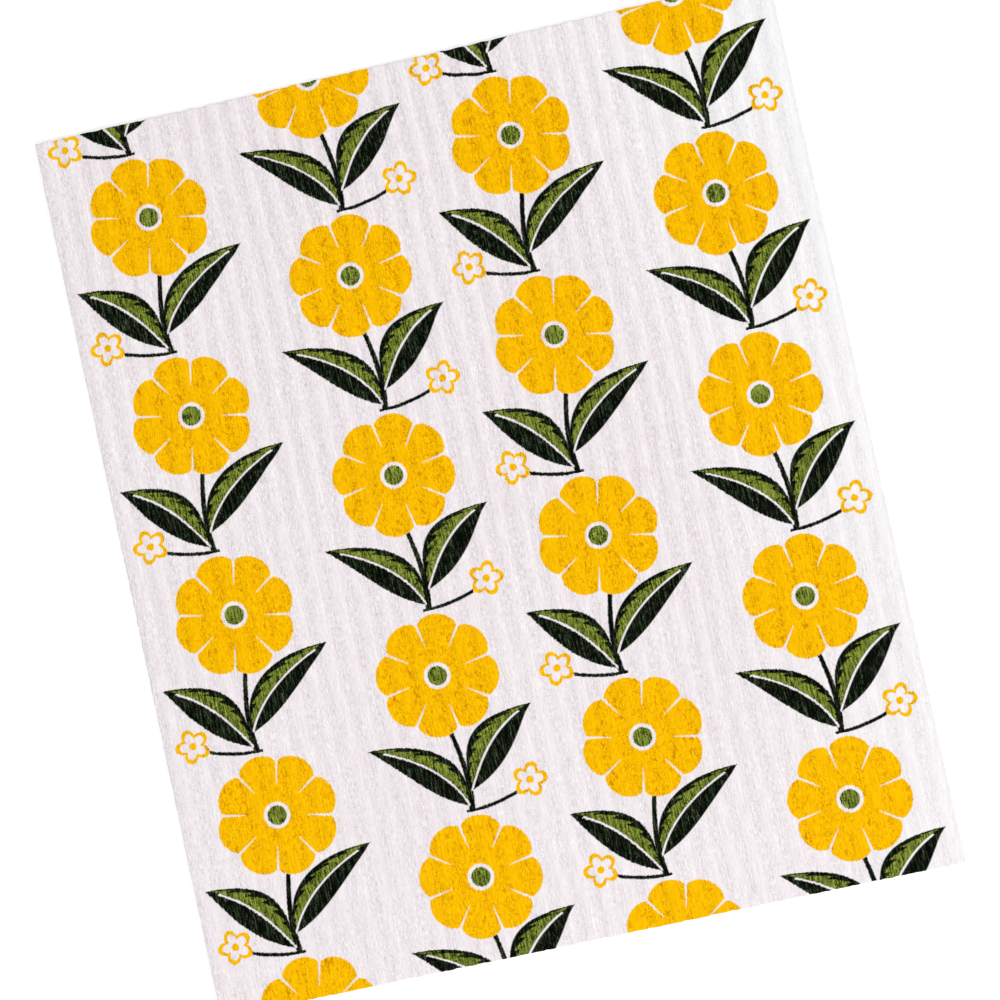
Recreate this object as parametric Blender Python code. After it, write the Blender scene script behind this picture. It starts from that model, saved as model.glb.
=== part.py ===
"""A sponge cloth: one flat absorbent sheet, embossed with ribs along its length and printed on top.

Metres, +Z up. The origin is at the middle of the underside, X runs across the ribs and Y along them.
"""
import bpy
import numpy as np

# Driving dimensions
CLOTH_WIDTH = 0.170          # across the ribs
CLOTH_LENGTH = 0.202         # along the ribs
THICKNESS = 0.0020           # from the underside to the highest crest
RIB_PITCH = 0.00485          # from crest to crest
RIB_DEPTH = 0.00065          # from the highest crest down to a valley
CREST_DIP = 0.00013          # how far a crest sinks where the embossing is weak
CREST_DIP_SPACING = 0.055    # along a rib, from one weak place to the next
GROOVE_DEPTH = 0.00025       # of the grooves in the underside, one below each valley
WANDER_BROAD = 0.00045       # sideways swing of a rib in its long bends
WANDER_BROAD_LENGTH = 0.140
WANDER_FINE = 0.00015        # and in its shorter bends
WANDER_FINE_LENGTH = 0.055
WANDER_DRIFT = 0.400         # across the cloth, in which the bends shift by one whole wave
STRAIGHT_MARGIN = 0.010      # beside each long edge, where the bends die out
ROW_SPACING = 0.0145         # between the rows of points along a rib

# Facets of one rib, as parts of the pitch from valley to valley
RIB_FACETS = 5
CREST_PHASE = 2 / RIB_FACETS  # where the rounded crest begins
SHARP_ANGLE = 50.0           # degrees, past which an edge stays sharp in the shading

# The print: flower sprigs in columns, every second column half a row higher
SPRIGS = dict(column_pitch=0.042, row_pitch=0.046, flower=-0.013, reach_below=0.0314)
FLOWER = dict(radius=0.0143, petals=8, notch=0.17, ring=0.0030, eye=0.0022)
LEAF = dict(length=0.0250, half_width=0.0050, foot=-0.0286, angle=46.0)
STEM = dict(foot=-0.0312, half_width=0.0007)

CLOTH_COLOUR = (0.855, 0.805, 0.820, 1.0)
YELLOW_INK = (0.920, 0.500, 0.004, 1.0)
DARK_INK = (0.008, 0.014, 0.006, 1.0)
LIGHT_INK = (0.140, 0.185, 0.026, 1.0)
CLOTH_ROUGHNESS = 0.92


def clear_scene():
    for item in list(bpy.data.objects):
        bpy.data.objects.remove(item, do_unlink=True)


def grid_of_phases():
    """Rib phase and row position of every point: whole phases are valleys, halves are crests."""
    ribs = max(1, round(CLOTH_WIDTH / RIB_PITCH))
    rows = max(1, round(CLOTH_LENGTH / ROW_SPACING))
    phases = np.arange(ribs * RIB_FACETS + 1) / RIB_FACETS
    along = np.linspace(-0.5, 0.5, rows + 1) * CLOTH_LENGTH
    phase, y = np.meshgrid(phases, along)
    return phase, y, CLOTH_WIDTH / ribs


def wander(x, y):
    """Sideways swing of the ribs: a long and a short wave, fading out at the long edges."""
    drift = x / WANDER_DRIFT
    broad = WANDER_BROAD * np.sin(2 * np.pi * (y / WANDER_BROAD_LENGTH + drift))
    fine = WANDER_FINE * np.sin(2 * np.pi * (y / WANDER_FINE_LENGTH - 2 * drift))
    to_edge = CLOTH_WIDTH / 2 - np.abs(x)
    return (broad + fine) * np.clip(to_edge / STRAIGHT_MARGIN, 0, 1)


def rib_height(phase):
    """0 in a valley and 1 on a crest, as a wave whose flat top starts at CREST_PHASE."""
    wave = 1 - np.cos(2 * np.pi * phase)
    return wave / (1 - np.cos(2 * np.pi * CREST_PHASE))


def crest_dip(phase, y):
    """How far the embossing falls short, in its own rhythm on each rib."""
    rib = np.floor(phase)
    golden = (5 ** 0.5 - 1) / 2
    return CREST_DIP * (0.5 + 0.5 * np.sin(2 * np.pi * (y / CREST_DIP_SPACING + golden * rib)))


def face_points():
    """The upper and the lower face as arrays of rows, columns and coordinates."""
    phase, y, pitch = grid_of_phases()
    x = phase * pitch - CLOTH_WIDTH / 2
    x = x + wander(x, y)
    height = rib_height(phase)
    upper = THICKNESS - RIB_DEPTH * (1 - height) - crest_dip(phase, y) * height
    in_valley = np.isclose(phase, np.round(phase))
    lower = np.where(in_valley, GROOVE_DEPTH, 0.0)
    return np.stack([x, y, upper], -1), np.stack([x, y, lower], -1)


def quads_between(corner, step_along, step_across):
    """Four-cornered faces, counted from the point numbers at their first corners."""
    return np.stack([
        corner,
        corner + step_across,
        corner + step_across + step_along,
        corner + step_along,
    ], -1).reshape(-1, 4)


def closed_sheet(upper, lower):
    """Points and outward faces of the sheet: both faces and the cut edge between them."""
    rows, columns = upper.shape[:2]
    number = np.arange(rows * columns).reshape(rows, columns)
    below = rows * columns
    top = quads_between(number[:-1, :-1], columns, 1)
    bottom = quads_between(number[:-1, :-1] + below, columns, 1)[:, ::-1]
    near = quads_between(number[0, :-1] + below, -below, 1)
    far = quads_between(number[-1, :-1], below, 1)
    left = quads_between(number[:-1, 0], below, columns)
    right = quads_between(number[:-1, -1] + below, -below, columns)
    points = np.concatenate([upper.reshape(-1, 3), lower.reshape(-1, 3)])
    return points, np.concatenate([top, bottom, near, far, left, right])


class Value:
    """A number that shader nodes work out at each point of the surface."""

    def __init__(self, tree, socket):
        self.tree = tree
        self.socket = socket

    def through(self, operation, *others):
        node = self.tree.nodes.new("ShaderNodeMath")
        node.operation = operation
        for place, value in enumerate((self, *others)):
            if isinstance(value, Value):
                self.tree.links.new(value.socket, node.inputs[place])
            else:
                node.inputs[place].default_value = value
        return Value(self.tree, node.outputs[0])

    def __add__(self, other):
        return self.through("ADD", other)

    def __sub__(self, other):
        return self.through("SUBTRACT", other)

    def __mul__(self, other):
        return self.through("MULTIPLY", other)

    def __truediv__(self, other):
        return self.through("DIVIDE", other)

    def __abs__(self):
        return self.through("ABSOLUTE")

    def is_over(self, other):
        """1 where this number is the greater, and 0 elsewhere."""
        return self.through("GREATER_THAN", other)

    def is_under(self, other):
        return self.through("LESS_THAN", other)

    def flipped(self):
        """1 less this number, which turns a field of ones and zeros round."""
        return self * -1.0 + 1.0


def place_in_sprig(x, y):
    """Position from the middle of the flower of the sprig that a point of the cloth belongs to."""
    column = (x / SPRIGS["column_pitch"]).through("FLOOR")
    across = x - (column + 0.5) * SPRIGS["column_pitch"]
    is_raised = abs(column.through("MODULO", 2.0))
    rise = y - SPRIGS["flower"] + SPRIGS["reach_below"] - is_raised * (SPRIGS["row_pitch"] / 2)
    row = (rise / SPRIGS["row_pitch"]).through("FLOOR")
    along = rise - row * SPRIGS["row_pitch"] - SPRIGS["reach_below"]
    return across, along


def flower_fields(across, along):
    """The whole scalloped head, its yellow part outside the ring, and the eye in its middle."""
    reach = (across * across + along * along).through("SQRT")
    around = along.through("ARCTAN2", across) * (FLOWER["petals"] / 2)
    scallop = abs(around.through("COSINE")).through("SQRT")
    rim = (scallop * FLOWER["notch"] + (1 - FLOWER["notch"])) * FLOWER["radius"]
    head = rim.is_over(reach)
    return head, head * reach.is_over(FLOWER["ring"]), reach.is_under(FLOWER["eye"])


def leaf_fields(across, along):
    """A leaf on each side of the stem, as two facing arcs, and the half of it above its midrib."""
    angle = np.radians(LEAF["angle"])
    outward = abs(across)
    rise = along - LEAF["foot"]
    on_rib = (outward * np.cos(angle) + rise * np.sin(angle)) / LEAF["length"]
    from_rib = rise * np.cos(angle) - outward * np.sin(angle)
    half_width = on_rib * on_rib.flipped() * (4 * LEAF["half_width"])
    leaf = half_width.is_over(abs(from_rib))
    return leaf, leaf * from_rib.is_over(0.0)


def mixed(tree, amount, first, second):
    """The colour that goes from the first to the second as the amount goes from 0 to 1."""
    node = tree.nodes.new("ShaderNodeMixRGB")
    tree.links.new(amount.socket, node.inputs["Fac"])
    node.inputs["Color2"].default_value = second
    if isinstance(first, tuple):
        node.inputs["Color1"].default_value = first
    else:
        tree.links.new(first, node.inputs["Color1"])
    return node.outputs["Color"]


def printed_colour(tree):
    """Cloth colour with stems, leaves and flowers in three inks, on the upper face only."""
    place = tree.nodes.new("ShaderNodeTexCoord")
    parts = tree.nodes.new("ShaderNodeSeparateXYZ")
    tree.links.new(place.outputs["Object"], parts.inputs[0])
    x, y, z = (Value(tree, output) for output in parts.outputs)
    printed = z.is_over(THICKNESS / 2)
    across, along = place_in_sprig(x, y)
    head, petals, eye = flower_fields(across, along)
    leaf, light_half = leaf_fields(across, along)
    stem = abs(across).is_under(STEM["half_width"]) * along.is_over(STEM["foot"]) * along.is_under(0.0)
    green = leaf.through("MAXIMUM", stem) * head.flipped()
    colour = mixed(tree, green * printed, CLOTH_COLOUR, DARK_INK)
    colour = mixed(tree, green * light_half * printed, colour, LIGHT_INK)
    colour = mixed(tree, petals * printed, colour, YELLOW_INK)
    return mixed(tree, eye * printed, colour, LIGHT_INK)


def cloth_material():
    material = bpy.data.materials.new("sponge_fabric")
    material.use_nodes = True
    tree = material.node_tree
    surface = tree.nodes["Principled BSDF"]
    tree.links.new(printed_colour(tree), surface.inputs["Base Color"])
    surface.inputs["Roughness"].default_value = CLOTH_ROUGHNESS
    surface.inputs["Metallic"].default_value = 0.0
    material.diffuse_color = CLOTH_COLOUR
    return material


def make_cloth():
    points, faces = closed_sheet(*face_points())
    mesh = bpy.data.meshes.new("sponge_cloth")
    mesh.from_pydata(points.tolist(), [], faces.tolist())
    mesh.shade_smooth()
    mesh.set_sharp_from_angle(angle=np.radians(SHARP_ANGLE))
    mesh.materials.append(cloth_material())
    cloth = bpy.data.objects.new("sponge_cloth", mesh)
    bpy.context.scene.collection.objects.link(cloth)
    return cloth


clear_scene()
make_cloth()
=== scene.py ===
import math
import bpy
import numpy as np
from mathutils import Matrix, Vector


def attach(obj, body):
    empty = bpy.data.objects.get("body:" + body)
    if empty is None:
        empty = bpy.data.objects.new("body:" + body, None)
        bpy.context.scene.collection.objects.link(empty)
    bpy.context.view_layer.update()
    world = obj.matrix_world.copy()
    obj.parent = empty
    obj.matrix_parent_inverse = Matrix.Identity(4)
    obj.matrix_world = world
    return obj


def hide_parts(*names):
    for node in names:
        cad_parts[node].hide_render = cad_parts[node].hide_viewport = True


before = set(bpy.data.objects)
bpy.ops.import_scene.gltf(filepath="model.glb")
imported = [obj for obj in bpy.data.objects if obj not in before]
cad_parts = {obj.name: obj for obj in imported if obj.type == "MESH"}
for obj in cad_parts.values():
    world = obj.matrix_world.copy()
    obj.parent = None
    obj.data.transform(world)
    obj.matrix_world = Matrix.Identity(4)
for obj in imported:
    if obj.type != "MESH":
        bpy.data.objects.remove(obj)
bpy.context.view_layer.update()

mmPerMetre = 1000
print("frame loaded")


# A number that changes over a surface: the output of a node. Sums of them read like sums
class Field:
    def __init__(self, tree, socket):
        self.tree = tree
        self.socket = socket

    def __add__(self, other):
        return worked("ADD", self, other)

    def __sub__(self, other):
        return worked("SUBTRACT", self, other)

    def __rsub__(self, other):
        return worked("SUBTRACT", other, self)

    def __mul__(self, other):
        return worked("MULTIPLY", self, other)

    def __truediv__(self, other):
        return worked("DIVIDE", self, other)

    def __abs__(self):
        return worked("ABSOLUTE", self)

    def squared(self):
        return self * self

    def within(self, low, high):  # 0 at low, 1 at high and straight between them, clamped
        steepness = 1 / (high - low)
        return worked("MULTIPLY_ADD", self, steepness, -low * steepness, clamped=True)


def worked(operation, *values, clamped=False):
    # One math node over fields and plain numbers
    tree = [value.tree for value in values if isinstance(value, Field)][0]
    node = tree.nodes.new("ShaderNodeMath")
    node.operation = operation
    node.use_clamp = clamped
    for place, value in enumerate(values):
        if isinstance(value, Field):
            tree.links.new(value.socket, node.inputs[place])
        else:
            node.inputs[place].default_value = value
    return Field(tree, node.outputs[0])


def largest(first, *others):
    for other in others:
        first = worked("MAXIMUM", first, other)
    return first


def fieldsOfVector(tree, socket):
    node = tree.nodes.new("ShaderNodeSeparateXYZ")
    tree.links.new(socket, node.inputs[0])
    return [Field(tree, out) for out in node.outputs]


def attributeField(tree, name):
    node = tree.nodes.new("ShaderNodeAttribute")
    node.attribute_name = name
    return Field(tree, node.outputs["Fac"])


def countedInCells(tree, place, cell):
    # The place divided by the size of a cell across and along, plus a shift that tells textures apart
    across, along, shift = cell
    node = tree.nodes.new("ShaderNodeMapping")
    tree.links.new(place, node.inputs["Vector"])
    node.inputs["Location"].default_value = (shift, shift, 0.0)
    node.inputs["Scale"].default_value = (mmPerMetre / across, mmPerMetre / along, 1.0)
    return node.outputs[0]


def noiseField(tree, place, cell, detail=0.0, roughness=0.5):
    # Noise between 0 and 1 in cells of that size
    node = tree.nodes.new("ShaderNodeTexNoise")
    node.noise_dimensions = "2D"
    node.inputs["Scale"].default_value = 1.0
    node.inputs["Detail"].default_value = detail
    node.inputs["Roughness"].default_value = roughness
    tree.links.new(countedInCells(tree, place, cell), node.inputs["Vector"])
    return Field(tree, node.outputs["Fac"])


def mixed(tree, amount, first, second):
    # Colour that goes from first to second as amount goes from 0 to 1
    node = tree.nodes.new("ShaderNodeMix")
    node.data_type = "RGBA"
    tree.links.new(amount.socket, node.inputs["Factor"])
    for name, value in (("A", first), ("B", second)):
        socket = [s for s in node.inputs if s.name == name and s.type == "RGBA"][0]
        if isinstance(value, tuple):
            socket.default_value = (*value, 1.0)
        else:
            tree.links.new(value, socket)
    return [s for s in node.outputs if s.type == "RGBA"][0]


# The shape of the cloth
cloth = dict(
    width=170.0,
    length=202.0,
    thickness=2.0,
    columns=372,          # cells of the upper face, even, so that the lower one can have half
    rows=186,
    ribPitch=4.85,
    ribDepth=0.53,
    crestRoom=0.08,       # left over the crests for the streaks
    # Waves that add up to a rib: how many to a pitch, their share, and their lead in degrees
    ribWaves=((1, 1.0, 0.0), (3, 0.08, -80.0)),
    # The same for the painted shade of the ribs: how light the cloth is drawn, lighter on the crests
    # and darker in the valleys and on one flank
    ribShadeWaves=((1, 0.84, 0.0), (2, 0.47, -148.0), (3, 0.82, 76.0)),
    # Strength of the embossing: in the middle, and its change along, across and outwards
    ribStrength=(1.09, 0.40, 0.10, -0.14),
    ribWeakening=0.45,    # the most that a crest loses where the embossing is weak
    wanderBroad=0.45,     # sideways swing of the ribs in their long bends, and in their short ones
    wanderBroadLength=140.0,
    wanderFine=0.15,
    wanderFineLength=55.0,
    wanderDrift=400.0,    # across the cloth, in which the bends shift by one whole wave
    straightMargin=10.0,  # beside each long edge, where the bends die out
    streakDepth=0.09,
    streakFineDepth=0.06,
    clouding=0.25,        # slow unevenness of the tone
    # The pits crowd on the flank of each rib that faces away from the lamp, so that their painted shade
    # gathers there
    shadedFlankPhase=0.17,      # of the pitch, from a valley to the flank where the pits crowd
    shadedFlankCrowding=0.72,
    crowding=0.38,        # of the pits everywhere, and how far it strays
    crowdingStray=0.46,
    grooveDepth=0.25,     # of the grooves under the valleys
    grooveShare=0.4,      # of the pitch that a groove takes
    feltDepth=0.04,       # unevenness of the underside
    waviness=0.22,        # of the whole sheet as it lies
    cornerLift=0.55,      # of the near left and far right corners
    otherCorners=0.55,    # lift of the other two, as a share of it
    rimLines=(0.0, 0.22, 0.55, 1.0),  # finer lines beside the cut, for its soft edge
    rimDrop=0.10,         # how far the upper face rounds down at the cut
    rimLowerShare=0.5,    # of that, by which the lower face rounds up
    rimSquareness=0.96,   # 1 for a quarter circle that ends upright
    rimFray=0.10,         # how far the cut strays from a straight line
    frayInward=0.6,       # how much of it the whole cut moves in
    fraySteadiness=0.02,  # change of the fray from the cut inwards, as a share of that along it
    frayApart=7.0,        # cells by which the noise of an edge is set off from that of its opposite
)
# Random unevenness of the sheet: its cells across and along, and the seed of each
randomness = dict(
    weakening=(9.7, 17.0, 3),  # two ribs across
    streaks=(1.15, 5.0, 7),
    fineStreaks=(0.95, 2.4, 8),
    clouds=(14.0, 30.0, 9),
    crowding=(2.0, 7.0, 13),
    lie=(46.0, 62.0, 11),
    sideFray=(1.0, 0.9, 21),
    endFray=(0.9, 1.0, 22),
    felt=(1.3, 6.0, 31),
)


def smoothNoise(x, y, kind):
    # Random heights from -1 to 1 at the corners of cells, blended across each cell by 3t^2 - 2t^3.
    # The kind is one of those in randomness
    cellX, cellY, seed = randomness[kind]
    column = x / cellX
    row = y / cellY
    firstColumn = int(np.floor(column.min()))
    firstRow = int(np.floor(row.min()))
    across = int(np.floor(column.max())) - firstColumn + 2
    along = int(np.floor(row.max())) - firstRow + 2
    heights = np.random.default_rng(seed).uniform(-1, 1, (along, across))
    i = np.floor(column).astype(int) - firstColumn
    j = np.floor(row).astype(int) - firstRow
    u = column - np.floor(column)
    v = row - np.floor(row)
    u = u * u * (3 - 2 * u)
    v = v * v * (3 - 2 * v)
    near = heights[j, i] * (1 - u) + heights[j, i + 1] * u
    far = heights[j + 1, i] * (1 - u) + heights[j + 1, i + 1] * u
    return near * (1 - v) + far * v


def wander(x, y):
    # Sideways swing of the ribs: a long and a short sine along y, drifting with x, gone at the sides
    drift = x / cloth["wanderDrift"]
    broad = cloth["wanderBroad"] * np.sin(2 * np.pi * (y / cloth["wanderBroadLength"] + drift))
    fine = cloth["wanderFine"] * np.sin(2 * np.pi * (y / cloth["wanderFineLength"] - 2 * drift))
    toEdge = cloth["width"] / 2 - np.abs(x)
    return (broad + fine) * np.clip(toEdge / cloth["straightMargin"], 0, 1)


def ribPhase(x, y):
    # Ribs counted from the left edge, at the place less the swing of the straight rib that lies
    # there: whole numbers are valleys, halves are crests
    ribs = round(cloth["width"] / cloth["ribPitch"])
    straight = x - wander(x - wander(x, y), y)
    return (straight / cloth["width"] + 0.5) * ribs


def ribProfile(phase, waves):
    # From about -1 in a valley to 1 on the crest: cosines of the pitch and of its overtones, added
    turn = 2 * np.pi * (phase - 0.5)
    return sum(share * np.cos(times * turn + np.radians(lead)) for times, share, lead in waves)


def streaking(ribX, y):
    # Fine unevenness drawn out along the ribs: two sizes of noise, added
    broad = cloth["streakDepth"] * smoothNoise(ribX, y, "streaks")
    return broad + cloth["streakFineDepth"] * smoothNoise(ribX, y, "fineStreaks")


def embossing(x, y):
    # Height over the valleys and lightness from 0 to 1: each half of 1 plus its profile times the
    # strength, which changes over the cloth and is weakened here and there, and then the streaks
    phase = ribPhase(x, y)
    ribX = phase * cloth["ribPitch"]
    weak = 0.5 + 0.5 * smoothNoise(ribX, y, "weakening")
    middle, along, across, outward = cloth["ribStrength"]
    u = x / (cloth["width"] / 2)
    v = y / (cloth["length"] / 2)
    strength = middle + along * v + across * u + outward * u * u
    strength = 0.5 * strength * (1 - cloth["ribWeakening"] * weak)
    streaks = streaking(ribX, y)
    height = cloth["ribDepth"] * (0.5 + ribProfile(phase, cloth["ribWaves"]) * strength) + streaks
    clouds = cloth["clouding"] * smoothNoise(x, y, "clouds")
    # Painted shade of the ribs: lighter on the crests and darker in the valleys, with the streaks and
    # clouds as uneven tone
    tone = 0.5 + ribProfile(phase, cloth["ribShadeWaves"]) * strength + streaks + clouds
    return height, tone


def crowding(x, y):
    # How closely the pits stand, from 0 to 1: noise, and more on the flank of each rib that faces away
    # from the lamp, by a cosine, so that their painted shade gathers where shade falls
    flank = np.cos(2 * np.pi * (ribPhase(x, y) - cloth["shadedFlankPhase"]))
    stray = cloth["crowdingStray"] * smoothNoise(x, y, "crowding")
    return np.clip(cloth["crowding"] + stray + cloth["shadedFlankCrowding"] * np.clip(flank, 0, 1), 0, 1)


def lie(x, y):
    # How the whole sheet lies: long low waves, and corners that lift as the distance cubed
    waves = smoothNoise(x, y, "lie") * cloth["waviness"]
    out = (np.abs(x) / (cloth["width"] / 2)) ** 3 * (np.abs(y) / (cloth["length"] / 2)) ** 3
    corner = np.where((x > 0) == (y > 0), 1.0, cloth["otherCorners"])
    return waves - waves.min() + cloth["cornerLift"] * out * corner


def linesAcross(size, count):
    # Grid lines from edge to edge about 0: a few close to each cut, and even steps between them
    rim = np.array(cloth["rimLines"])
    inner = np.linspace(rim[-1], size - rim[-1], count - 2 * len(rim) + 3)
    return np.concatenate([rim[:-1], inner, size - rim[:-1][::-1]]) - size / 2


def nearCut(toEdge):
    # 0 inside and 1 at the cut, straight between them over the reach of the rim lines
    return np.clip(1 - toEdge / cloth["rimLines"][-1], 0, 1)


def frayed(x, y):
    # Moves the points at the cuts a little in and out, as fibres do, and leaves the inside alone:
    # noise that changes along the cut and hardly inwards, times how near the cut is
    apart, steady, inward = cloth["frayApart"], cloth["fraySteadiness"], cloth["frayInward"]
    outX = smoothNoise(x * steady + apart * np.sign(x), y, "sideFray") - inward
    outY = smoothNoise(x, y * steady + apart * np.sign(y), "endFray") - inward
    sideways = nearCut(cloth["width"] / 2 - np.abs(x)) * cloth["rimFray"]
    endways = nearCut(cloth["length"] / 2 - np.abs(y)) * cloth["rimFray"]
    return x + np.sign(x) * sideways * outX, y + np.sign(y) * endways * outY


def rimFall(x, y):
    # How far the rounded edge falls: nothing inside, and towards the cut a quarter circle
    t = nearCut(np.minimum(cloth["width"] / 2 - np.abs(x), cloth["length"] / 2 - np.abs(y)))
    return cloth["rimDrop"] * (1 - np.sqrt(1 - t * t * cloth["rimSquareness"]))


def upperFace(x, y):
    # Thickness less the rib depth, plus the embossing, less the rounding at the cut
    base = cloth["thickness"] - cloth["ribDepth"] - cloth["crestRoom"]
    return base + embossing(x, y)[0] + lie(x, y) - rimFall(x, y)


def lowerFace(x, y):
    # Flat lands with grooves under the valleys, each one wave of a cosine, and a felted unevenness
    phase = ribPhase(x, y)
    fromValley = np.abs(phase - np.round(phase)) / (cloth["grooveShare"] / 2)
    groove = cloth["grooveDepth"] * (0.5 + 0.5 * np.cos(np.pi * np.clip(fromValley, 0, 1)))
    felt = cloth["feltDepth"] * (1 + smoothNoise(x, y, "felt"))
    return groove + felt + lie(x, y) + cloth["rimLowerShare"] * rimFall(x, y)


def rimWalk(columns, rows):
    # Grid places round the edge, anticlockwise from the near left corner, without the last repeat
    near = [(0, c) for c in range(columns)]
    right = [(r, columns) for r in range(rows)]
    far = [(rows, c) for c in range(columns, 0, -1)]
    left = [(r, 0) for r in range(rows, 0, -1)]
    return np.array(near + right + far + left)


def gridQuads(number):
    # The four point numbers of each cell, anticlockwise from above
    corners = [number[:-1, :-1], number[:-1, 1:], number[1:, 1:], number[1:, :-1]]
    return np.stack(corners, -1).reshape(-1, 4)


def wallFaces(upperNumber, lowerNumber):
    # The cut edge: each face stands on one lower edge and carries two upper ones
    rows, columns = upperNumber.shape[0] - 1, upperNumber.shape[1] - 1
    upper = upperNumber[tuple(rimWalk(columns, rows).T)]
    lower = lowerNumber[tuple(rimWalk(columns // 2, rows // 2).T)]
    corners = [lower, np.roll(lower, -1), np.roll(upper[::2], -1), upper[1::2], upper[::2]]
    return np.stack(corners, -1)


def addAttribute(mesh, name, upperValues, lowerValues):
    # A number at each point of the mesh, for its material
    values = np.concatenate([upperValues.ravel(), lowerValues.ravel()])
    attribute = mesh.attributes.new(name, "FLOAT", "POINT")
    attribute.data.foreach_set("value", values.astype(np.float32))


def makeCloth():
    # Two sheets over one outline, the lower with every second line, joined by the cut edge
    flatX, flatY = np.meshgrid(
        linesAcross(cloth["width"], cloth["columns"]),
        linesAcross(cloth["length"], cloth["rows"]),
    )
    x, y = frayed(flatX, flatY)
    upper = np.stack([x, y, upperFace(flatX, flatY)], -1)
    lowX, lowY = x[::2, ::2], y[::2, ::2]
    lower = np.stack([lowX, lowY, lowerFace(flatX[::2, ::2], flatY[::2, ::2])], -1)
    upperNumber = np.arange(flatX.size).reshape(flatX.shape)
    lowerNumber = upperNumber.size + np.arange(lowX.size).reshape(lowX.shape)
    points = np.concatenate([upper.reshape(-1, 3), lower.reshape(-1, 3)]) / mmPerMetre
    faces = (
        gridQuads(upperNumber).tolist()
        + gridQuads(lowerNumber)[:, ::-1].tolist()
        + wallFaces(upperNumber, lowerNumber).tolist()
    )
    mesh = bpy.data.meshes.new("ribbedCloth")
    mesh.from_pydata(points, [], faces)
    mesh.shade_smooth()
    # Lightness with the painted rib shade, for the material, and an even middle value on the lower face
    addAttribute(mesh, "ribShadeAndTone", embossing(flatX, flatY)[1], np.full(lowX.shape, 0.5))
    addAttribute(mesh, "crowding", crowding(flatX, flatY), crowding(lowX, lowY))
    addAttribute(mesh, "printSide", np.ones(flatX.shape), np.zeros(lowX.shape))
    piece = bpy.data.objects.new("ribbedCloth", mesh)
    bpy.context.scene.collection.objects.link(piece)
    return piece


clothPiece = makeCloth()
print("cloth sheet made:", len(clothPiece.data.polygons), "faces")


# The print: upright flower sprigs in a half-drop repeat, drawn by formulas on the flat cloth
sprigs = dict(
    columnPitch=42.0,
    rowPitch=46.0,
    flowerAt=-13.0,       # height on the cloth of one flower of the first column right of the middle
    cellBelow=31.4,       # how far a sprig's cell reaches below its flower
    inkFade=0.22,         # over which an ink edge fades
    stray=0.34,           # how far the ink edges stray
)
flower = dict(
    radius=13.9,
    petals=8,
    notch=0.17,           # how far the gaps reach in, as a share of the radius
    slitFrom=7.0,         # where the slits between the petals begin
    slitLeast=0.05,       # half their width there
    slitGrowth=0.30,      # and what it gains towards the rim
    eye=2.2,
    ring=3.0,
    turn=0.2,             # in radians, to either side in turn
)
leaf = dict(
    length=25.0,
    halfWidth=4.3,
    footWidening=1.2,     # of the half width at the foot, and what it loses towards the tip
    narrowing=0.45,
    baseX=0.4,
    baseY=-28.4,
    angle=46.0,
    bend=2.6,             # of the midrib at its middle
    tipRise=0.8,          # of the tip, as a share of that
    stagger=1.6,          # of one leaf above the other, halved
    rib=0.23,             # half the width of the midrib
    ribEnd=0.88,          # as a share of the length
    lightFrom=0.30,       # where the light side begins beside the midrib
    lightFoot=0.06,       # and along it, as a share of the length
    lightReach=0.80,      # how far it goes to the edge, as a share
    teeth=7.0,
    toothDepth=0.30,
    toothSlant=0.22,
)
stem = dict(
    top=-9.0,
    foot=-31.2,
    halfWidth=0.72,
    taper=0.25,           # what the half width loses at the top
    sway=1.8,
    swayTop=-12.0,
    swayFoot=-38.0,
)
blossom = dict(
    x=15.4,
    y=-27.0,
    size=3.4,
    petals=5,
    gapReach=0.62,        # of the outline at a gap, as a share of the size
    lobe=0.42,            # and what it gains on a petal
    line=0.50,            # half the width of the outline
    eye=0.85,
    stalkRise=3.4,
    stalkWidth=0.42,      # halved too
)


def inside(distance):
    # 1 where the distance to the outline is positive, with a soft step at the outline
    return distance.within(-sprigs["inkFade"] / 2, sprigs["inkFade"] / 2)


def rosette(x, y, petals, turn=0.0):
    # Distance from the middle, and how far a point is on a petal: the cosine of half the petals' turn
    reach = worked("SQRT", x.squared() + y.squared())
    angle = worked("ARCTAN2", y, x) + turn
    return reach, abs(worked("COSINE", angle * (petals / 2)))


def flowerInk(x, y, turn):
    # Polar outline: the radius dips at each gap between petals, and slits widen towards the rim
    reach, petal = rosette(x, y, flower["petals"], turn)
    rim = (worked("SQRT", petal) * flower["notch"] + (1 - flower["notch"])) * flower["radius"]
    head = inside(rim - reach)
    halfSlit = reach.within(flower["slitFrom"], flower["radius"]) * flower["slitGrowth"]
    slit = inside(halfSlit + flower["slitLeast"] - reach * petal * (2 / flower["petals"]))
    slit = slit * inside(reach - flower["slitFrom"])
    yellow = head * (1.0 - slit) * inside(reach - flower["ring"])
    return yellow, inside(flower["eye"] - reach), head


def leafInk(x, y):
    # One leaf on each side: along and across its bent midrib, half as wide as a parabola allows
    turn = math.radians(leaf["angle"])
    outward = abs(x) - leaf["baseX"]
    upward = y - leaf["baseY"] - worked("SIGN", x) * leaf["stagger"]
    along = (outward * math.cos(turn) + upward * math.sin(turn)) / leaf["length"]
    arch = along * (1.0 - along) * 4.0
    across = upward * math.cos(turn) - outward * math.sin(turn)
    across = across - arch * leaf["bend"] + along * (leaf["bend"] * leaf["tipRise"])
    width = arch * (leaf["footWidening"] - along * leaf["narrowing"]) * leaf["halfWidth"]
    blade = inside(width - abs(across))
    teeth = worked("FRACT", along * leaf["teeth"] + across * leaf["toothSlant"])
    lightEdge = width * (leaf["lightReach"] - teeth * leaf["toothDepth"])
    light = inside(across - leaf["lightFrom"]) * inside(lightEdge - across)
    light = light * inside((along - leaf["lightFoot"]) * leaf["length"])
    rib = inside(leaf["rib"] - abs(across)) * inside((leaf["ribEnd"] - along) * leaf["length"])
    return blade, light * blade, rib * blade


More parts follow.
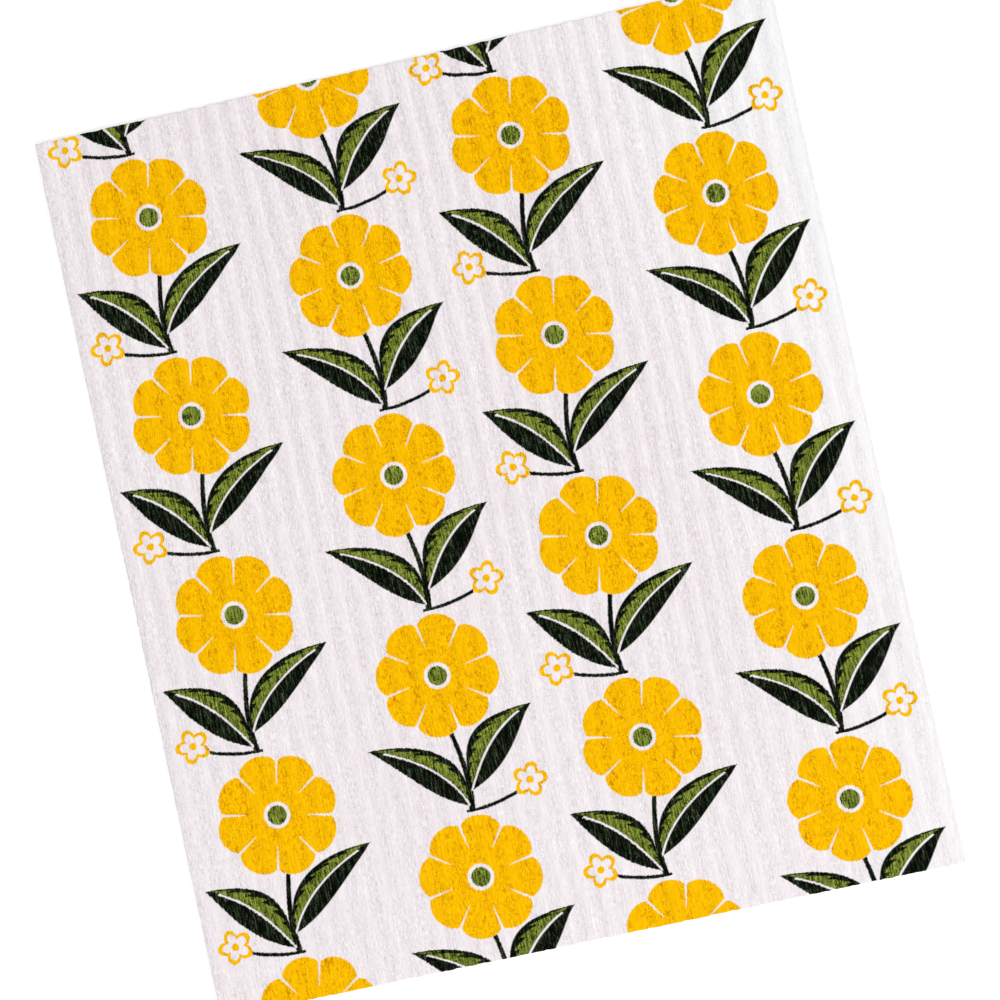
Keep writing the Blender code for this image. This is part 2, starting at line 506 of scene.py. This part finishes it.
def blossomInk(x, y):
    # A small outlined blossom beside the stem, and its thin stalk: a parabola from the stem's foot
    reach, lobes = rosette(x - blossom["x"], y - blossom["y"], blossom["petals"])
    outline = (lobes * blossom["lobe"] + blossom["gapReach"]) * blossom["size"]
    small = largest(inside(blossom["line"] - abs(reach - outline)), inside(blossom["eye"] - reach))
    thread = y - stem["foot"] - x.squared() * (blossom["stalkRise"] / blossom["x"] ** 2)
    thread = inside(blossom["stalkWidth"] - abs(thread)) * inside(x)
    return small, thread * inside(blossom["x"] - blossom["size"] - x)


def placeInSprig(tree, place, stray):
    # Position from the middle of the flower whose cell a point belongs to, and 1 in every second column
    placeX, placeY = fieldsOfVector(tree, place)[:2]
    x = placeX * mmPerMetre + stray
    y = placeY * mmPerMetre + stray
    column = worked("FLOOR", x / sprigs["columnPitch"])
    odd = abs(worked("MODULO", column, 2.0))
    x = x - (column + 0.5) * sprigs["columnPitch"]
    lifted = y - sprigs["flowerAt"] + sprigs["cellBelow"] - odd * (sprigs["rowPitch"] / 2)
    row = worked("FLOOR", lifted / sprigs["rowPitch"])
    return x, lifted - row * sprigs["rowPitch"] - sprigs["cellBelow"], odd


def makePrintGroup():
    # A group that gives how much yellow, dark and light ink lies at a place on the cloth
    tree = bpy.data.node_groups.new("flowerPrint", "ShaderNodeTree")
    tree.interface.new_socket("Place", in_out="INPUT", socket_type="NodeSocketVector")
    tree.interface.new_socket("Stray", in_out="INPUT", socket_type="NodeSocketFloat")
    source = tree.nodes.new("NodeGroupInput")
    result = tree.nodes.new("NodeGroupOutput")
    stray = Field(tree, source.outputs["Stray"])
    x, y, odd = placeInSprig(tree, source.outputs["Place"], stray)
    facing = odd * 2.0 - 1.0
    sway = worked("SINE", y.within(stem["swayTop"], stem["swayFoot"]) * math.pi)
    bentX = x - sway * stem["sway"] * facing
    yellow, eye, head = flowerInk(x, y, facing * flower["turn"])
    blade, light, rib = leafInk(bentX, y)
    halfWidth = stem["halfWidth"] - y.within(stem["foot"], stem["top"]) * stem["taper"]
    stalk = inside(halfWidth - abs(bentX)) * inside(y - stem["foot"]) * inside(stem["top"] - y)
    small, thread = blossomInk(x * facing, y)
    offHead = 1.0 - head
    offRib = 1.0 - rib
    inks = (
        ("Yellow", largest(yellow, small * offHead)),
        ("Dark", largest(blade, stalk, thread) * offRib * offHead),
        ("Light", largest(light * offRib * offHead, eye)),
    )
    for label, ink in inks:
        tree.interface.new_socket(label, in_out="OUTPUT", socket_type="NodeSocketFloat")
        tree.links.new(ink.socket, result.inputs[label])
    return tree


# The finish of the cloth: colours as sRGB values from 0 to 255
finish = dict(
    # Ground from its darkest to its palest: the uneven tone, and painted shade of the ribs, darker in
    # the valleys and lighter on the crests
    shadedValleyTone=(204, 190, 196),
    litCrestTone=(254, 249, 250),
    # Painted light: beside the right edge the ground is drawn paler, whiter and more even, as where it
    # is most brightly lit
    valleyLitRight=(222, 219, 220),  # the same two beside the right edge
    crestLitRight=(255, 255, 255),
    # Dust specks, and the painted shade of the pores on the ground
    speck=(128, 116, 112),
    yellow=(255, 199, 3),
    yellowDeep=(222, 148, 2),
    # Pores in the yellow, darkened as painted shade
    yellowPitShade=(150, 84, 2),
    # Painted shadows beside the wrinkles in the yellow
    yellowWrinkleShade=(196, 112, 2),
    dark=(4, 8, 4),
    darkFibre=(76, 90, 64),
    light=(152, 168, 66),
    lightDeep=(38, 50, 10),
    # Pores in the light green, darkened as painted shade
    lightPitShade=(20, 26, 10),
    roughness=0.93,
    inkRoughness=0.86,
    grainRoughness=0.08,
    specular=0.02,
    bumpStrength=0.85,
    fibreRelief=0.070,
    streakRelief=0.090,
)
# Cells of the textures: millimetres across and along the ribs, and the shift of each
cells = dict(
    grain=(0.27, 0.36, 5.0),
    fibre=(0.32, 1.20, 1.0),
    streak=(0.46, 4.50, 3.0),
    pit=(0.40, 0.75, 0.0),
    speck=(1.0, 1.2, 4.0),
    wrinkle=(1.5, 3.4, 11.0),
    wrinklePiece=(0.9, 1.6, 12.0),
    stray=(0.5, 0.7, 6.0),
)
# How strongly each shows, in the tone that all the colours share and in each colour
shows = dict(
    grain=0.42,
    fibre=0.50,
    streak=0.32,
    even=0.50,            # strength of the grain where no pits crowd, and what it gains with them
    crowded=0.85,
    far=1.2,              # what it gains with each metre towards the far end
    # Beside the right edge the grain is drawn weaker, as painted light washing it out
    right=0.30,           # and what it loses beside the right edge
    pitShare=0.30,        # of the cells that have a pit, and that have a speck
    speckShare=0.026,
    groundTone=0.57,
    groundRibShadeAndTone=0.12,
    groundPitShade=0.20,
    groundSpeck=0.75,
    yellowTone=0.26,
    yellowUneven=1.65,
    yellowPitShade=0.64,
    yellowWrinkleShade=0.80,
    darkTone=0.22,
    darkUneven=2.0,
    darkStreak=1.6,
    lightTone=0.58,
    lightUneven=2.2,
    lightStreak=0.8,
    lightPitShade=0.90,
)
# Painted light: the ground turns paler and whiter towards the right edge
litRightEdge = dict(begins=0.040, full=0.095, slant=0.15)  # in metres, where the tint changes
pitForm = dict(edge=0.42, floor=0.12, chanceFade=0.10)  # in cells from the middle of a pit
# Painted wrinkle shadows: half the width of a contour line, the values of the other noise between which
# a piece of it fades in, what the crests take from them, and the share that shows where no pits crowd
wrinkleForm = dict(halfWidth=0.045, pieceFrom=0.44, pieceFull=0.54, onCrests=0.10, least=0.5)


def colour(name):
    # sRGB from 0 to 255 to the linear values that sockets take
    share = [value / 255 for value in finish[name]]
    return tuple(v / 12.92 if v <= 0.04045 else ((v + 0.055) / 1.055) ** 2.4 for v in share)


def pitField(tree, place, cell, share):
    # 1 close to the points of a Voronoi pattern, in the cells whose random number is under a share
    node = tree.nodes.new("ShaderNodeTexVoronoi")
    node.voronoi_dimensions = "2D"
    node.inputs["Scale"].default_value = 1.0
    tree.links.new(countedInCells(tree, place, cell), node.inputs["Vector"])
    chance = fieldsOfVector(tree, node.outputs["Color"])[0]
    near = Field(tree, node.outputs["Distance"]).within(pitForm["edge"], pitForm["floor"])
    return near * (share - chance).within(0.0, pitForm["chanceFade"])


def wrinkleShadowField(tree, place, height):
    # Painted shadows of short wavy wrinkles: pieces of the contour line of one noise, chosen by another
    contour = abs(noiseField(tree, place, cells["wrinkle"], detail=1.0) - 0.5)
    chosen = noiseField(tree, place, cells["wrinklePiece"]) - height * wrinkleForm["onCrests"]
    line = contour.within(wrinkleForm["halfWidth"], 0.0)
    return line * chosen.within(wrinkleForm["pieceFrom"], wrinkleForm["pieceFull"])


def printInks(tree, place):
    # How much of each ink lies at a point, with edges that stray as ink does on fibres. printSide is
    # 1 on the upper face and 0 on the lower, so that the print ends halfway down the cut
    stray = noiseField(tree, place, cells["stray"], detail=1.0, roughness=0.6) - 0.5
    inks = tree.nodes.new("ShaderNodeGroup")
    inks.node_tree = makePrintGroup()
    tree.links.new(place, inks.inputs["Place"])
    tree.links.new((stray * sprigs["stray"]).socket, inks.inputs["Stray"])
    printed = attributeField(tree, "printSide").within(0.4, 0.6)
    return [Field(tree, out) * printed for out in inks.outputs]


def clothColours(tree, place, tone, streaks, height, pitShade, wrinkleShade, right):
    # Ground, yellow, dark and light: each from its colour to its deeper one by the uneven tone, with
    # painted shade in the pores and beside the wrinkles; the ground also by the painted rib shade, and
    # paler as painted light beside the right edge
    # The ground goes from dark to pale by the uneven tone and by the painted rib shade
    groundTone = tone + height * shows["groundRibShadeAndTone"] + shows["groundTone"]
    # Both ends paler and whiter beside the right edge, as painted light
    shadedValleyTone = mixed(tree, right, colour("shadedValleyTone"), colour("valleyLitRight"))
    litCrestTone = mixed(tree, right, colour("litCrestTone"), colour("crestLitRight"))
    ground = mixed(tree, groundTone.within(0.0, 1.0), shadedValleyTone, litCrestTone)
    specks = pitField(tree, place, cells["speck"], shows["speckShare"])
    # Dust specks, and pores darkened as painted shade
    specksAndPitShade = specks * shows["groundSpeck"] + pitShade * shows["groundPitShade"]
    ground = mixed(tree, specksAndPitShade, ground, colour("speck"))

    yellowShade = shows["yellowTone"] - tone * shows["yellowUneven"]
    yellow = mixed(tree, yellowShade.within(0.0, 1.0), colour("yellow"), colour("yellowDeep"))
    # Pores in the yellow darkened as painted shade
    yellow = mixed(tree, pitShade * shows["yellowPitShade"], yellow, colour("yellowPitShade"))
    # Painted shadows beside the wrinkles in the yellow
    yellow = mixed(tree, wrinkleShade * shows["yellowWrinkleShade"], yellow, colour("yellowWrinkleShade"))

    fibreLight = tone * shows["darkUneven"] + streaks * shows["darkStreak"] + shows["darkTone"]
    dark = mixed(tree, fibreLight.within(0.0, 1.0).squared(), colour("dark"), colour("darkFibre"))

    lightShade = shows["lightTone"] - tone * shows["lightUneven"] - streaks * shows["lightStreak"]
    light = mixed(tree, lightShade.within(0.0, 1.0), colour("light"), colour("lightDeep"))
    # Pores in the light green darkened as painted shade
    light = mixed(tree, pitShade * shows["lightPitShade"], light, colour("lightPitShade"))
    return ground, (yellow, dark, light)


def makeClothMaterial():
    material = bpy.data.materials.new("printedSponge")
    material.use_nodes = True
    tree = material.node_tree
    surface = tree.nodes["Principled BSDF"]
    place = tree.nodes.new("ShaderNodeTexCoord").outputs["Object"]
    placeX, placeY = fieldsOfVector(tree, place)[:2]
    # How far a point lies into the painted light beside the right edge, from 0 to 1
    right = placeX + placeY * litRightEdge["slant"]
    right = right.within(litRightEdge["begins"], litRightEdge["full"])
    # The painted rib shade and the uneven tone, carried by the mesh
    height = attributeField(tree, "ribShadeAndTone")
    crowded = attributeField(tree, "crowding")

    grains = (noiseField(tree, place, cells["grain"]) - 0.5) * shows["grain"]
    fibres = (noiseField(tree, place, cells["fibre"]) - 0.5) * shows["fibre"]
    streaks = (noiseField(tree, place, cells["streak"]) - 0.5) * shows["streak"]
    # The grain shows stronger where the pits crowd on the shaded flank, as painted shade, and weaker in
    # the painted light beside the right edge
    strength = crowded * shows["crowded"] + placeY * shows["far"] - right * shows["right"]
    tone = (grains + fibres) * (strength + shows["even"]) + streaks
    # Pores darkened as painted shade, crowding on the shaded flank of each rib
    pitShade = pitField(tree, place, cells["pit"], shows["pitShare"]) * crowded
    least = wrinkleForm["least"]
    # Wrinkles drawn as painted shadows, fewer where no pits crowd
    wrinkleShade = wrinkleShadowField(tree, place, height) * (crowded * (1 - least) + least)

    painted, inkColours = clothColours(tree, place, tone, streaks, height, pitShade, wrinkleShade, right)
    masks = printInks(tree, place)
    for mask, inkColour in zip(masks, inkColours):
        painted = mixed(tree, mask, painted, inkColour)
    tree.links.new(painted, surface.inputs["Base Color"])

    rough = largest(*masks) * (finish["inkRoughness"] - finish["roughness"]) + finish["roughness"]
    rough = rough + grains * finish["grainRoughness"]
    tree.links.new(rough.socket, surface.inputs["Roughness"])
    surface.inputs["Specular IOR Level"].default_value = finish["specular"]

    bump = tree.nodes.new("ShaderNodeBump")
    bump.inputs["Strength"].default_value = finish["bumpStrength"]
    bump.inputs["Distance"].default_value = 1 / mmPerMetre
    relief = fibres * finish["fibreRelief"] + streaks * finish["streakRelief"]
    tree.links.new(relief.socket, bump.inputs["Height"])
    tree.links.new(bump.outputs["Normal"], surface.inputs["Normal"])
    return material


clothPiece.data.materials.append(makeClothMaterial())
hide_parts("sponge_cloth")
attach(clothPiece, "root")
print("cloth printed and finished")


# The floor and the light, in metres and watts
studio = dict(
    floorSize=3.0,
    floorDepth=0.00005,   # under the lowest point of the cloth
    floorTone=0.88,
    floorRoughness=0.9,
    floorToCamera=0.34,   # added for the camera, so that the lit floor reads as white
    worldLight=0.73,
    keyPower=8.0,
    keySize=0.60,
    keyFrom=(0.94, -0.66, 1.24),
    fillPower=2.4,
    fillSize=0.9,
    fillFrom=(0.05, -0.7, 1.2),
)


def seenDirectly(tree):
    # 1 for rays from the camera, in mirrors and through glass, and 0 for the light that falls on things
    node = tree.nodes.new("ShaderNodeLightPath")
    rays = ("Is Camera Ray", "Is Glossy Ray", "Is Transmission Ray")
    return largest(*[Field(tree, node.outputs[ray]) for ray in rays])


def makeFloor():
    half, depth = studio["floorSize"] / 2, -studio["floorDepth"]
    corners = [(-half, -half, depth), (half, -half, depth), (half, half, depth), (-half, half, depth)]
    mesh = bpy.data.meshes.new("floor")
    mesh.from_pydata(corners, [], [(0, 1, 2, 3)])
    material = bpy.data.materials.new("paleFloor")
    material.use_nodes = True
    tree = material.node_tree
    surface = tree.nodes["Principled BSDF"]
    surface.inputs["Base Color"].default_value = (*[studio["floorTone"]] * 3, 1.0)
    surface.inputs["Roughness"].default_value = studio["floorRoughness"]
    surface.inputs["Specular IOR Level"].default_value = 0.0
    surface.inputs["Emission Color"].default_value = (1.0, 1.0, 1.0, 1.0)
    glow = seenDirectly(tree) * studio["floorToCamera"]
    tree.links.new(glow.socket, surface.inputs["Emission Strength"])
    mesh.materials.append(material)
    floor = bpy.data.objects.new("floor", mesh)
    bpy.context.scene.collection.objects.link(floor)


def makeWorld():
    world = bpy.data.worlds.new("studio")
    bpy.context.scene.world = world
    world.use_nodes = True
    tree = world.node_tree
    background = tree.nodes["Background"]
    background.inputs["Color"].default_value = (1.0, 1.0, 1.0, 1.0)
    strength = seenDirectly(tree) * (1.0 - studio["worldLight"]) + studio["worldLight"]
    tree.links.new(strength.socket, background.inputs["Strength"])


def addLamp(name, power, size, origin):
    # A round soft lamp that shines on the middle of the cloth
    lamp = bpy.data.lights.new(name, "AREA")
    lamp.shape = "DISK"
    lamp.size = size
    lamp.energy = power
    holder = bpy.data.objects.new(name, lamp)
    bpy.context.scene.collection.objects.link(holder)
    holder.location = origin
    holder.rotation_euler = (-Vector(origin)).to_track_quat("-Z", "Y").to_euler()


makeFloor()
makeWorld()
addLamp("keyLamp", studio["keyPower"], studio["keySize"], studio["keyFrom"])
addLamp("fillLamp", studio["fillPower"], studio["fillSize"], studio["fillFrom"])
print("studio lit")


# The camera looks down on the cloth, a little from the right and the near end, and turned
shot = dict(
    lens=100.24,
    sensor=36.0,
    place=(39.3, -20.36, 624.2),
    aim=(1.17, -0.57, 1.8),
    turn=12.33,           # degrees by which the cloth is seen turned anticlockwise
)


def makeCamera():
    lens = bpy.data.cameras.new("overhead")
    lens.lens = shot["lens"]
    lens.sensor_width = shot["sensor"]
    camera = bpy.data.objects.new("overhead", lens)
    bpy.context.scene.collection.objects.link(camera)
    place = Vector(shot["place"]) / mmPerMetre
    ahead = (Vector(shot["aim"]) / mmPerMetre - place).normalized()
    turn = math.radians(shot["turn"])
    upward = Vector((math.sin(turn), math.cos(turn), 0.0))
    upward = (upward - ahead * upward.dot(ahead)).normalized()
    facing = Matrix((ahead.cross(upward), upward, -ahead)).transposed().to_4x4()
    camera.matrix_world = Matrix.Translation(place) @ facing
    bpy.context.scene.camera = camera


makeCamera()
bpy.context.scene.view_settings.view_transform = "Standard"
print("camera set")
